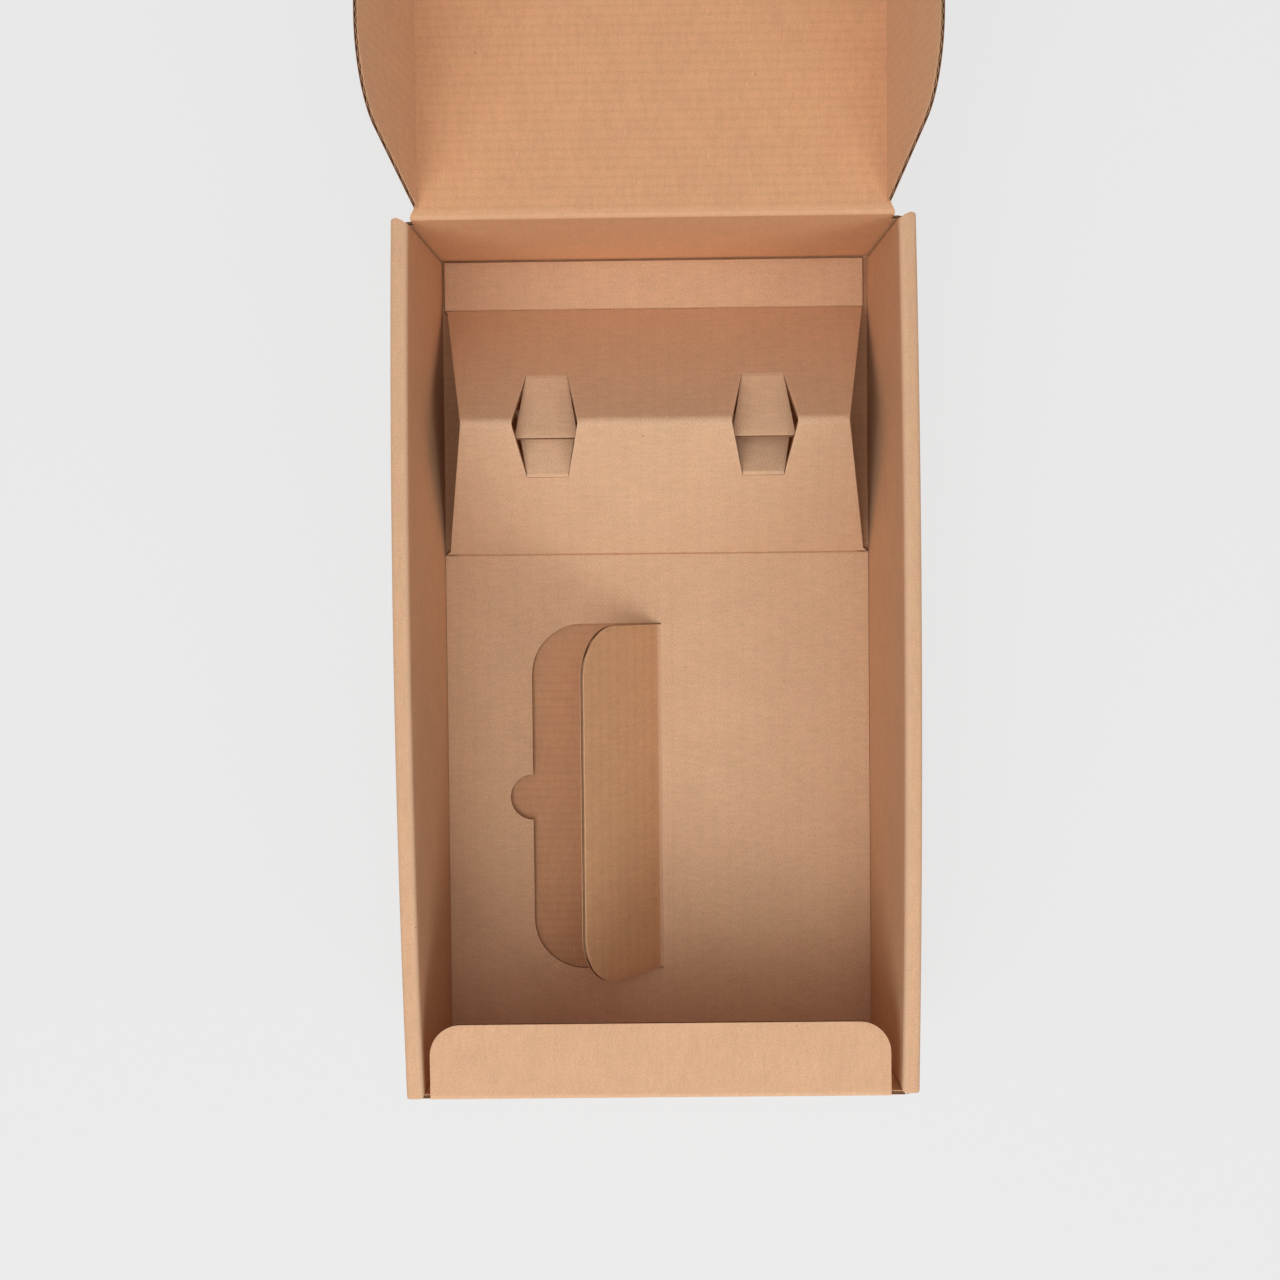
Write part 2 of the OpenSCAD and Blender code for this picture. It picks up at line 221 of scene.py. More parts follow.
# shaded copy of the insert liner for the divider's upper face: darker, painted shade
shadedDividerLiner = kraftLiner("shadedDividerLiner", tint(211, 165, 124), insertBoard, lineDepth=0.06, grainDepth=0.76)
flutedCore = rawCore("flutedCore", tint(126, 86, 60))
linerEdge = rawCore("linerEdge", tint(198, 154, 118))
boxFaces, insertFaces = (innerLiner, outerLiner), (insertLiner, insertLiner)
print("finishes made")


def fillIn(keys, gap):  # all the key values, with even steps no wider than the gap between them
    keys = np.unique(np.round(keys, 6))
    pairs = zip(keys[:-1], keys[1:])
    runs = [np.linspace(p, q, max(2, math.ceil((q - p) / gap) + 1))[:-1] for p, q in pairs]
    return np.concatenate(runs + [keys[-1:]])


def middles(values):
    return (values[1:] + values[:-1]) / 2


def inPairs(values, limits):  # inside the first or the second of two ranges
    return ((values > limits[0]) & (values < limits[1])) | ((values > limits[2]) & (values < limits[3]))


arcSamples = 17


# fold line in a plane: straight runs between corners, each corner an arc that touches both runs;
# kept as the length at each sample, with the place and the heading there
def foldLine(corners, radii):
    corners = np.array(corners, float)
    runs = np.diff(corners, axis=0)
    angles = np.unwrap(np.arctan2(runs[:, 1], runs[:, 0]))
    spots, headings, folds = [corners[:1]], [angles[:1]], []
    for corner, radius, before, after in zip(corners[1:-1], radii, angles[:-1], angles[1:]):
        turn = np.linspace(before, after, arcSamples)
        side = np.sign(after - before)
        reach = radius * math.tan(abs(after - before) / 2)
        ahead = np.array([math.cos(before), math.sin(before)])
        leftward = np.array([-math.sin(before), math.cos(before)])
        centre = corner - reach * ahead + side * radius * leftward
        spots.append(centre + side * radius * np.stack([np.sin(turn), -np.cos(turn)], 1))
        headings.append(turn)
        folds.append(len(np.concatenate(spots)) - (arcSamples + 1) // 2)
    spots = np.concatenate(spots + [corners[-1:]])
    headings = np.concatenate(headings + [angles[-1:]])
    length = np.concatenate([[0], np.cumsum(np.linalg.norm(np.diff(spots, axis=0), axis=1))])
    return {"length": length, "spot": spots, "heading": headings, "folds": length[folds]}


def onLine(line, length):  # place and left-hand normal at a length along a fold line
    p = np.interp(length, line["length"], line["spot"][:, 0])
    q = np.interp(length, line["length"], line["spot"][:, 1])
    heading = np.interp(length, line["length"], line["heading"])
    return p, q, -np.sin(heading), np.cos(heading)


def nearFold(length, folds, width):  # 1 on a fold, falling off as a bell curve
    return np.exp(-((np.asarray(length)[..., None] - np.asarray(folds)) / width) ** 2).max(-1)


def roundFolds(line, reach, count):  # close lengths round each fold of a line
    return np.maximum(0, line["folds"][:, None] + np.linspace(-reach, reach, count)).ravel()


def addObject(name, data):
    made = bpy.data.objects.new(name, data)
    bpy.context.scene.collection.objects.link(made)
    return made


sharpAngle = math.radians(38)


def makeMesh(name, spots, quads, finish, finishes, blank, wornAndLit):
    mesh = bpy.data.meshes.new(name)
    mesh.vertices.add(len(spots))
    mesh.vertices.foreach_set("co", (spots * millimetre).astype(np.float32).ravel())
    mesh.loops.add(quads.size)
    mesh.loops.foreach_set("vertex_index", quads.astype(np.int32).ravel())
    mesh.polygons.add(len(quads))
    mesh.polygons.foreach_set("loop_start", np.arange(0, quads.size, 4, dtype=np.int32))
    mesh.polygons.foreach_set("material_index", finish.astype(np.int32))
    mesh.polygons.foreach_set("use_smooth", np.ones(len(quads), bool))
    mesh.update(calc_edges=True)
    sheet = mesh.attributes.new("blank", "FLOAT_VECTOR", "POINT").data
    sheet.foreach_set("vector", blank.astype(np.float32).ravel())
    wornAndLitData = mesh.attributes.new("wornAndLit", "FLOAT", "POINT").data
    wornAndLitData.foreach_set("value", wornAndLit.astype(np.float32))
    mesh.validate()
    mesh.set_sharp_from_angle(angle=sharpAngle)
    for look in finishes:
        mesh.materials.append(look)
    return addObject(name, mesh)


cutLook = {
    "mitreLeast": 0.35, "swing": (0.6, 0.4), "swingLength": (23, 61), "outerDip": 0.25,
    "ribHalf": 0.1, "ribGap": 0.1, "ribPhase": 0.4, "ribDepths": (0.1, 0.27, 0.43, 0.6, 0.8, 1),
}


# board: both faces lie half a thickness off the folded middle sheet and sink a little between the flute tips; the
# die presses them in along a cut, which opens as a groove between two pale liners with the flutes as a wave in it
def cutBoard(
        name, board, along, across, place, faces,
        keep=None, wornAndLit=None, seed=0.0, scored=None, joined=None, patch=None):
    rows, cols = along.shape
    keep = np.ones((rows - 1, cols - 1), bool) if keep is None else keep
    wornAndLit = np.zeros(along.shape) if wornAndLit is None else wornAndLit
    half, liner, turn = board["thick"] / 2, board["liner"], 2 * np.pi / board["pitch"]
    flat = np.stack([along.ravel(), across.ravel()], 1)
    spot, out = place(flat[:, 0], flat[:, 1])
    index = np.arange(rows * cols).reshape(rows, cols)
    corner = [index[:-1, :-1], index[:-1, 1:], index[1:, 1:], index[1:, :-1]]
    cells = np.stack(corner, -1)[keep]
    used, cells = np.unique(cells, return_inverse=True)
    cells = cells.reshape(-1, 4)
    flat, spot, out, wornAndLit = flat[used], spot[used], out[used], wornAndLit.ravel()[used]
    count = len(used)

    # which way round the grid runs, against the face and in the flat sheet
    first, quad = cells[len(cells) // 2], spot[cells]
    turned = np.cross(quad[:, 1] - quad[:, 0], quad[:, 3] - quad[:, 0])
    facing = (turned * out[cells[:, 0]]).sum()
    step, rise = flat[first[1]] - flat[first[0]], flat[first[3]] - flat[first[0]]
    hand = np.sign(step[0] * rise[1] - step[1] * rise[0])

    # edges that only one kept cell has, with the sheet on their left in the grid
    padded = np.pad(keep, 1)
    beside = [padded[:-2, 1:-1], padded[1:-1, 2:], padded[2:, 1:-1], padded[1:-1, :-2]]
    starts = [corner[k][keep & ~beside[k]] for k in range(4)]
    stops = [corner[(k + 1) % 4][keep & ~beside[k]] for k in range(4)]
    start, end = (np.searchsorted(used, np.concatenate(v)) for v in (starts, stops))
    rim, begins = np.unique(start, return_inverse=True)
    ends = np.searchsorted(rim, end)
    run = flat[end] - flat[start]
    run /= np.linalg.norm(run, axis=1)[:, None]
    inward = hand * np.stack([-run[:, 1], run[:, 0]], 1)
    one, two = np.zeros((len(rim), 2)), np.zeros((len(rim), 2))
    one[begins], two[ends] = inward, inward
    # mitre: the sum of the two inward normals over one plus their product, held back at sharp corners
    mitre = (one + two) / np.maximum(1 + (one * two).sum(1), cutLook["mitreLeast"])[:, None]

    # faces: a shallow cosine over the flutes, deeper in some places than in others, pressed in at cuts and scores
    press = np.zeros(count)
    press[rim] = board["press"] * (1 if joined is None else 1 - joined(flat[rim, 0], flat[rim, 1]))
    # the pale line along a pressed edge is partly rubbing and partly a painted highlight
    wornAndLit = np.maximum(wornAndLit, board["rubAndHighlight"] / board["press"] * press)  # the pressed edge is rubbed pale
    usual, change = cutLook["swing"]
    longWay, crossWay = cutLook["swingLength"]
    swing = usual + change * np.sin(flat[:, 0] / longWay + flat[:, 1] / crossWay + seed)
    dent = np.zeros(count) if scored is None else scored(flat[:, 0], flat[:, 1])
    sink = [board["dip"] * (cutLook["outerDip"] if look == outerLiner else 1.0) * swing for look in faces]
    ripple = 0.5 * np.cos(turn * flat[:, 1])
    upper = spot + out * (half - press - sink[0] * (0.5 + ripple) - dent)[:, None]
    lower = spot - out * (half - press - sink[1] * (0.5 - ripple))[:, None]
    room = half - liner - press[rim]  # from the middle of the sheet to the inner side of a liner

    # ring: the rim moved into the sheet by a depth, never past its ends, at a height off its middle
    def ring(depth, height):
        where = np.clip(flat[rim] + depth * mitre, flat.min(0), flat.max(0))
        p, n = place(where[:, 0], where[:, 1])
        return p + n * height(where)[:, None], where

    def level(sign):
        return lambda where: sign * room

    def wave(lift):  # a sine over the flutes that stays clear of both liners
        phase = cutLook["ribPhase"]
        return lambda where: (room - cutLook["ribGap"]) * np.sin(turn * where[:, 1] + phase) + lift

    deep = board["groove"]
    groove = [ring(0, level(1)), ring(deep, level(1)), ring(deep, level(-1)), ring(0, level(-1))]
    depths, thin = deep * np.array(cutLook["ribDepths"]), cutLook["ribHalf"]
    flutes = [ring(d, wave(thin)) for d in depths] + [ring(d, wave(-thin)) for d in depths[::-1]]
    n = len(rim)
    loops = [rim] + [2 * count + k * n + np.arange(n) for k in range(4)] + [rim + count]
    waves = [2 * count + (4 + k) * n + np.arange(n) for k in range(len(flutes))]
    edge = [np.stack([q[begins], q[ends], p[ends], p[begins]], 1) for p, q in zip(loops[:-1], loops[1:])]
    closed = zip(waves, waves[1:] + waves[:1])
    ribs = [np.stack([p[begins], p[ends], q[ends], q[begins]], 1) for p, q in closed]
    quads = np.concatenate([cells, cells[:, ::-1] + count] + edge + ribs)
    if facing < 0:
        quads = quads[:, ::-1]
    sizes = [len(cells), len(cells), len(start), 3 * len(start), len(start), len(waves) * len(start)]
    # the under liner's edge takes the board's underEdge finish; on the box board that is the dark fluted middle,
    # a painted shade
    finish = np.repeat([0, 1, 3, 2, board["underEdge"], 3], sizes)
    looks = list(faces) + [flutedCore, linerEdge]
    if patch:  # a part of one face with a finish of its own
        face, within, look = patch
        middle = flat[cells].mean(1)
        finish[face * len(cells):(face + 1) * len(cells)][within(middle[:, 0], middle[:, 1])] = len(looks)
        looks.append(look)
    spots = np.concatenate([upper, lower] + [p for p, where in groove + flutes])
    sheet = np.concatenate([flat, flat] + [where for p, where in groove + flutes]) * millimetre
    blank = np.column_stack([sheet, np.full(len(sheet), seed)])
    wearAndHighlight = np.concatenate([wornAndLit, wornAndLit, np.zeros(len(sheet) - 2 * count)])
    return makeMesh(name, spots, quads, finish, looks, blank, wearAndHighlight)


# a sheet's first column or row runs on into a fold and is no cut edge
def joinedAlong(start):
    return lambda a, b: a < start + hair


def joinedAcross(start):
    return lambda a, b: b < start + hair


creaseLook = {"samples": 17, "leastReach": 0.05, "travel": 2, "edgeFinish": 2}


# crease between two sheets: each face follows the two sheets' faces to the corner where they would meet and is
# rounded there as a hyperbola, so the fold is one skin
def foldCrease(
        name, board, axis, along, dirA, dirB, outA, reachA, reachB, halfLength, faces, seed,
        rounding=(1.3, 0.5), dropA=(0, 0, 0), halfB=None, wearAndHighlight=1.0):
    given = (axis, along, dirA, dirB, outA, dropA)
    axis, along, dirA, dirB, outA, dropA = (np.array(v, float) for v in given)
    half = board["thick"] / 2
    heading = -dirA
    # the angle of the fold, positive towards the upper face
    turn = math.atan2(np.cross(heading, dirB) @ np.cross(heading, outA), heading @ dirB)
    outB = math.cos(turn) * outA - math.sin(turn) * heading
    corner = half * (outA + outB) / (1 + outA @ outB)
    back = half * math.tan(turn / 2)
    share = np.linspace(-1, 1, creaseLook["samples"])
    bothShares = np.concatenate([share, share[::-1]])
    width = fillIn([-halfLength, halfLength], board["row"] * 2)

    # face: half of (root of t squared plus softness squared, less or plus t) towards the one or the other sheet
    def face(side, radius):
        reach = np.where(share < 0, reachA, reachB) - side * back
        t = share * np.maximum(reach, creaseLook["leastReach"])
        soft = radius * (1 - share ** 2)
        root = np.sqrt(t ** 2 + soft ** 2)
        toA, toB = (root - t) / 2, (root + t) / 2
        fade = 0.5 - 0.5 * np.sin(share * np.pi / 2)
        return axis + side * corner + toA[:, None] * dirA + toB[:, None] * dirB + fade[:, None] * dropA

    bend = rounding if turn < 0 else rounding[::-1]
    section = np.concatenate([face(1, bend[0]), face(-1, bend[1])[::-1]])
    m, steps = len(section), len(share) - 1
    narrow = np.interp(bothShares, [0, 1], [1, (halfB or halfLength) / halfLength])
    spots = (section[None] + (width[:, None] * narrow)[..., None] * along).reshape(-1, 3)
    rows = np.arange(len(width) - 1)[:, None] * m
    p, q = rows + np.arange(m), rows + (np.arange(m) + 1) % m
    skin = np.stack([p, q, q + m, p + m], -1).reshape(-1, 4)
    k = np.arange(steps)
    cap = np.stack([k, m - 1 - k, m - 2 - k, k + 1], 1)
    last = (len(width) - 1) * m
    quads = np.concatenate([skin, cap, cap[:, ::-1] + last])
    edge = creaseLook["edgeFinish"]
    part = np.tile(np.repeat([0, edge, 1, edge], [steps, 1, steps, 1]), len(width) - 1)
    finish = np.concatenate([part, np.full(2 * len(cap), edge)])
    if np.cross(section[1] - section[0], along) @ outA < 0:
        quads = quads[:, ::-1]
    travel = bothShares * creaseLook["travel"]
    sheet = np.column_stack([np.repeat(width, m), np.tile(travel, len(width))]) * millimetre
    blank = np.column_stack([sheet, np.full(len(spots), seed)])
    # a pale band along the crease: wear and a painted highlight
    wornAndLit = wearAndHighlight * np.tile(1 - bothShares ** 2, len(width))
    return makeMesh(name, spots, quads, finish, list(faces) + [linerEdge], blank, wornAndLit)


# a flat sheet: origin, plus the two lengths along their directions
def onPlane(origin, alongDir, acrossDir, out):
    origin, alongDir, acrossDir, out = (np.array(v, float) for v in (origin, alongDir, acrossDir, out))

    def place(a, b):
        return origin + a[:, None] * alongDir + b[:, None] * acrossDir, np.broadcast_to(out, (len(a), 3))

    return place


def standFor(piece, body, board, *nodes):
    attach(piece, body)
    if nodes:
        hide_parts(*nodes)


def bridge(piece):
    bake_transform(piece)


# side walls lean out towards the lid and bow between their ends, in step with the height over the base fold;
# in the photo the left one leans a little less than the right one
wallLean = {-1: {"back": 0.7, "front": -0.7, "bow": 2.2}, 1: {"back": 1.25, "front": 1.0, "bow": 1.7}}


def leanOut(side, y, z):
    lean, k = wallLean[side], y / boxSize["wallY"]
    top = (lean["back"] + lean["front"] + k * (lean["back"] - lean["front"])) / 2
    return (top + lean["bow"] * (1 - k * k)) * np.maximum(0, z - boxSize["leanFoot"]) / boxSize["leanHeight"]


frontSkew = {"slope": 0.0034, "foot": 2.3, "height": 82.85, "fadeFrom": -100, "fadeOver": 60}


# the top of the front wall lies a little askew: a sloping line in x, fading to the base and to the middle
def skewFront(x, y, z):
    upward = np.clip((z - frontSkew["foot"]) / frontSkew["height"], 0, 1)
    forward = np.clip((frontSkew["fadeFrom"] - y) / frontSkew["fadeOver"], 0, 1)
    return frontSkew["slope"] * x * upward * forward


half = boxBoard["thick"] / 2
bend = boxSize["foldIn"] + half
trayShell = {
    "endHalf": 93.2, "baseHalf": 95.3, "frontHalf": 88.0, "backHalf": 90.9, "backTop": 85.95,
    "frontStart": -165.75, "frontSamples": 20, "shoulderStep": 0.03, "shoulderNear": 0.1,
    "slotX": (89.92, 91.58), "slotNear": 1.2, "slotY": ((-102.3, -67.7), (67.7, 102.3)),
    "foldReach": 1.3, "foldWearAndHighlight": 1.0, "columnX": (88.9, 89.92, 91.58, 94.5, 95.3), "column": 14,
}

# base with the front and back walls: one fold line from the front flap's crease, down, along the base and up
wallMiddle, frontAxisZ, baseHalf = boxSize["wallMiddle"], boxSize["frontAxisZ"], trayShell["baseHalf"]
shellLine = foldLine(
    [(trayShell["frontStart"], frontAxisZ), (-wallMiddle, frontAxisZ), (-wallMiddle, half),
     (wallMiddle, half), (wallMiddle, trayShell["backTop"])],
    [half, bend, bend])
ends = shellLine["length"][-1]
downFront = slice(trayShell["frontSamples"])  # the samples from the flap's crease to the front foot
frontShoulder = np.interp(
    -boxSize["frontShoulder"], -shellLine["spot"][downFront, 1], shellLine["length"][downFront])
backShoulder = ends - (trayShell["backTop"] - boxSize["backShoulder"])
footFront, footBack = shellLine["folds"][1], shellLine["folds"][2]
baseMiddle = footFront + wallMiddle - bend + bend * math.pi / 4  # half the fold's arc and half the flat base on
slotRows = [baseMiddle + y for pair in trayShell["slotY"] for y in pair]
shoulders = [
    frontShoulder, frontShoulder + trayShell["shoulderStep"],
    backShoulder - trayShell["shoulderStep"], backShoulder]
foldRows = roundFolds(shellLine, trayShell["foldReach"], 9)
rowsAt = fillIn([0, ends, *shoulders, *slotRows, *foldRows], boxBoard["row"])
rowY, rowZ = onLine(shellLine, rowsAt)[:2]
lean = np.where(rowY > 0, boxSize["leanBack"], boxSize["leanFront"])
leanShare = np.clip((rowZ - boxSize["leanFoot"]) / boxSize["leanHeight"], 0, 1)
wallHalf = trayShell["endHalf"] + lean * leanShare
halfAt = np.where((rowsAt > footFront) & (rowsAt < footBack), baseHalf, wallHalf)
halfAt = np.where(rowsAt < frontShoulder + hair, trayShell["frontHalf"], halfAt)
halfAt = np.where(rowsAt > backShoulder - hair, trayShell["backHalf"], halfAt)
columnX = np.array(trayShell["columnX"])
columns = fillIn(np.concatenate([-columnX, [0], columnX]), trayShell["column"]) / baseHalf
across, along = np.broadcast_arrays(rowsAt[:, None], halfAt[:, None] * columns)
middleX = np.abs(middles(columns) * baseHalf)
inSlot = (middleX > trayShell["slotX"][0]) & (middleX < trayShell["slotX"][1])
keep = ~(inPairs(middles(rowsAt), slotRows)[:, None] & inSlot)


def placeShell(a, b):
    y, z, ny, nz = onLine(shellLine, b)
    return np.stack([a, y + skewFront(a, y, z), z], 1), np.stack([np.zeros(len(a)), ny, nz], 1)


def shellJoined(a, b):  # only the lock slots and the shoulders beside the flap and the lid are cut edges
    offSlots = np.abs(np.abs(a) - np.mean(trayShell["slotX"])) > trayShell["slotNear"]
    offFront = np.abs(b - frontShoulder) > trayShell["shoulderNear"]
    return offSlots & offFront & (np.abs(b - backShoulder) > trayShell["shoulderNear"])


# the base between the feet takes the darker base liner: painted shade
shell = cutBoard(
    "tray_shell", boxBoard, along, across, placeShell, boxFaces, keep,
    nearFold(across, shellLine["folds"], trayShell["foldWearAndHighlight"]), seed=0.11, joined=shellJoined,
    patch=(0, lambda a, b: (b > footFront) & (b < footBack), shadedBaseLiner))
standFor(shell, "tray", boxBoard, "tray")

# double side walls: up from the base, over the flat rim and down inside, with lock tabs at the foot
sideWall = {
    "outerX": 96.75, "innerX": 91.85, "rim": 87.15, "lipHalf": 165.9, "legHalf": 164.5,
    "front": {-1: -166.95, 1: -165.6}, "back": {-1: 167.1, 1: 166.85},
    "foot": 2.075, "footIn": 1.35, "tabFoot": 0.4, "tabY": ((-102, -68), (68, 102)),
    "foldReach": 1.15, "foldWearAndHighlight": 1.0, "innerFoldHighlight": 0.8, "legFrom": 1.2, "column": 7, "backSlope": 0.0045,
    "cornerFrom": 1.5, "cornerTo": 2.0, "cornerIn": 0.9, "stepFrom": 0.3, "stepTo": 2.0,
}
lipHalf = sideWall["lipHalf"]
wallLine = foldLine(
    [(baseHalf, half), (sideWall["outerX"], half), (sideWall["outerX"], sideWall["rim"]),
     (sideWall["innerX"], sideWall["rim"]), (sideWall["innerX"], sideWall["tabFoot"])],
    [bend, bend, bend])
wallEnd = wallLine["length"][-1]
legFoot = wallEnd - (sideWall["foot"] - sideWall["tabFoot"])
foldCols = roundFolds(wallLine, sideWall["foldReach"], 9)
colsAt = fillIn([0, wallEnd, legFoot - edgeStep, legFoot, *foldCols], sideWall["column"])
tabRows = [y for pair in sideWall["tabY"] for y in pair]
rowsAt = fillIn([-lipHalf, lipHalf, *tabRows], boxBoard["row"])
# the inner layer is shorter: the rim slopes in to it at the back, with a round outer corner,
# and steps in at the front
outerFold, innerFold = wallLine["folds"][1:]
legShare = sideWall["legHalf"] / lipHalf
backShare = np.interp(
    colsAt, [outerFold - sideWall["cornerFrom"], outerFold + sideWall["cornerTo"], innerFold],
    [1 - sideWall["cornerIn"] / lipHalf, 1, legShare - sideWall["backSlope"]])
frontShare = np.interp(
    colsAt, [innerFold + sideWall["stepFrom"], innerFold + sideWall["stepTo"]], [1, legShare])
endShare = np.where(rowsAt[:, None] < 0, frontShare, backShare)
along, across = np.broadcast_arrays(colsAt, rowsAt[:, None] * endShare)
keep = (middles(colsAt) < legFoot) | inPairs(middles(rowsAt), tabRows)[:, None]
# pale bands at the wall's folds are wear and a painted highlight; the inner rim fold gets a second band that is
# only a painted highlight
wallWornAndLit = nearFold(along, wallLine["folds"], sideWall["foldWearAndHighlight"])
wallWornAndLit = wallWornAndLit + nearFold(along, wallLine["folds"][2:], sideWall["innerFoldHighlight"])
for side, name in sideNames:
    # the ends of the two rims lie a little differently, the inner layers lean on the insert
    def placeWall(a, b, side=side):
        x, z, nx, nz = onLine(wallLine, a)
        x = x - sideWall["footIn"] * np.clip((a - innerFold) / (wallEnd - innerFold), 0, 1)
        rimEnds = [sideWall["front"][side], sideWall["back"][side]]
        y = np.interp(b, [-lipHalf, lipHalf], rimEnds)
        spot = np.stack([side * (x + leanOut(side, y, z)), y, z], 1)
        return spot, np.stack([side * nx, np.zeros(len(a)), nz], 1)

    # past the inner fold the visible face takes the darker leg liner: painted shade
    wall = cutBoard(
        name + "_side_wall", boxBoard, along, across, placeWall, boxFaces, keep, wallWornAndLit,
        seed=0.23 + 0.1 * side, joined=joinedAlong(0),
        patch=(1, lambda a, b: a > innerFold + sideWall["legFrom"], shadedLegLiner))
    standFor(wall, "tray", boxBoard, "tray")

# corner tucks: from the end walls round the corners and in between the two layers of the side walls
tuck = {
    "x": 94.675, "radius": 1.2, "tip": 104.0, "taper": 9.0, "taperFrom": 1,
    "low": 2.6, "high": {-1: 83.2, 1: 75.6}, "height": 82, "foldReach": 0.94, "foldWearAndHighlight": 1.0, "column": 8,
}
tuckLine = foldLine(
    [(trayShell["endHalf"], wallMiddle), (tuck["x"], wallMiddle), (tuck["x"], tuck["tip"])], [tuck["radius"]])
tuckEnd, taperStart = tuckLine["length"][-1], tuckLine["folds"][0] + tuck["taperFrom"]
foldCols = roundFolds(tuckLine, tuck["foldReach"], 7)
colsAt = fillIn([0, tuckEnd - edgeStep, tuckEnd, *foldCols], tuck["column"])
taper = tuck["taper"] * np.clip((colsAt - taperStart) / (tuckEnd - taperStart), 0, 1)
heights = fillIn([0, 1], boxBoard["row"] / tuck["height"])
for side, sideName in sideNames:
    for end, endName in ((-1, "front"), (1, "back")):
        def placeTuck(a, b, side=side, end=end):
            x, y, nx, ny = onLine(tuckLine, a)
            x, y = side * (x + leanOut(side, end * y, b)), end * y
            spot = np.stack([x, y + skewFront(x, y, b), b], 1)
            return spot, np.stack([side * nx, end * ny, np.zeros(len(a))], 1)

        # height: from the low edge to the high one, both drawn in by the taper
        span = tuck["high"][end] - tuck["low"] - 2 * taper
        along, across = np.broadcast_arrays(colsAt, tuck["low"] + taper + span * heights[:, None])
        piece = cutBoard(
            f"{endName}_{sideName}_tuck", boxBoard, along, across, placeTuck, boxFaces[::-1],
            wornAndLit=nearFold(along, tuckLine["folds"], tuck["foldWearAndHighlight"]), seed=0.5 + 0.1 * side + 0.05 * end,
            joined=joinedAlong(0))
        standFor(piece, "tray", boxBoard, "tray")
print("tray made")

shallowCut = dict(boxBoard, groove=1.0)  # the corners of the lid and its ears are too narrow for a deep groove
ear = {
    "start": 3.5, "end": 301.65, "depth": 74.65, "slope": 71.0, "radius": 33.0, "flare": 6.8,
    "root": 1.2, "tipRoom": 0.2, "edgeShare": 0.012, "columnShare": 0.08,
    "reach": 1.2, "blend": 0.9, "wearAndHighlight": 0.2,
}
rise = math.radians(boxSize["lidRise"])
lidOut = np.array([0, math.cos(rise), math.sin(rise)])
lidUp = np.array([0, -math.sin(rise), math.cos(rise)])
lidRoot = np.array([0, boxSize["lidAxisY"], boxSize["lidAxisZ"]])
acrossX, alongY, upZ = np.eye(3)
lidPanel = {
    "start": 1.2, "end": 334.55, "hingeHalf": 90.9, "cornerHalf": 89.2, "half": 87.3,
    "corner": 3.66, "step": 3.7, "edgeShare": 0.009, "columnShare": 0.08, "foldWearAndHighlight": 0.9,
    "reach": 1.2, "blend": 1.0,
}
lidRows = [lidPanel["start"], lidPanel["corner"], lidPanel["step"], lidPanel["end"]]
rowsAt = fillIn(lidRows, boxBoard["row"])
halfAt = np.interp(
    rowsAt, [0, lidPanel["corner"], lidPanel["step"]],
    [lidPanel["hingeHalf"], lidPanel["cornerHalf"], lidPanel["half"]])
nearEdge = 1 - lidPanel["edgeShare"]
columns = fillIn([-1, -nearEdge, 0, nearEdge, 1], lidPanel["columnShare"])
across, along = np.broadcast_arrays(rowsAt[:, None], halfAt[:, None] * columns)
lidStartHalf = halfAt[0]
lid = cutBoard(
    "lid_panel", shallowCut, along, across, onPlane(lidRoot, acrossX, lidOut, lidUp), boxFaces,
    wornAndLit=nearFold(across, [lidPanel["start"]], lidPanel["foldWearAndHighlight"]), seed=0.71,
    joined=lambda a, b: (b > ear["start"]) | (b < lidPanel["start"] + hair))
standFor(lid, "lid", boxBoard, "lid")

slope = math.radians(ear["slope"])
bendDepth = ear["depth"] - ear["radius"] * (1 - math.cos(slope))
bendStart = bendDepth / math.tan(slope)
bendEnd = bendStart + ear["radius"] * math.sin(slope)


# depth of an ear at a distance from its nearer end: a sloping line, then an arc, then the free edge
def earDepth(t):
    arc = np.sqrt(np.maximum(ear["radius"] ** 2 - np.minimum(t - bendEnd, 0) ** 2, 0))
    return np.where(t < bendStart, t * math.tan(slope), ear["depth"] - ear["radius"] + arc)


tipGap = (ear["root"] + ear["tipRoom"]) / math.tan(slope)
earRows = [ear["start"] + tipGap, ear["start"] + bendStart, ear["end"] - bendStart, ear["end"] - tipGap]
rowsAt = fillIn(earRows, boxBoard["row"])
depthAt = earDepth(np.minimum(rowsAt - ear["start"], ear["end"] - rowsAt))
shareAt = fillIn([0, ear["edgeShare"], 1 - ear["edgeShare"], 1], ear["columnShare"])
across, along = np.broadcast_arrays(
    rowsAt[:, None], ear["root"] + (depthAt[:, None] - ear["root"]) * shareAt)
flare = math.radians(ear["flare"])
middle = (ear["start"] + ear["end"]) / 2
for side, name in sideNames:
    earUp = side * math.sin(flare) * acrossX + math.cos(flare) * lidUp
    earIn = -side * math.cos(flare) * acrossX + math.sin(flare) * lidUp
    root = lidRoot + side * boxSize["lidHalf"] * acrossX
    # the ear's inner face takes the paler ear liner: painted light
    piece = cutBoard(
        f"{name}_ear", shallowCut, along, across, onPlane(root, earUp, lidOut, earIn),
        (litEarLiner, outerLiner), seed=0.83 + 0.07 * side, joined=joinedAlong(ear["root"]))
    standFor(piece, f"lid_{name}_ear", boxBoard, f"lid_{name}_ear")
    crease = foldCrease(
        f"{name}_ear_crease", boxBoard, root + middle * lidOut, lidOut, -side * acrossX, earUp, lidUp,
        ear["reach"], ear["root"], middle - ear["start"] - ear["tipRoom"], boxFaces, 0.91, wearAndHighlight=ear["wearAndHighlight"])
    bridge(
        crease)

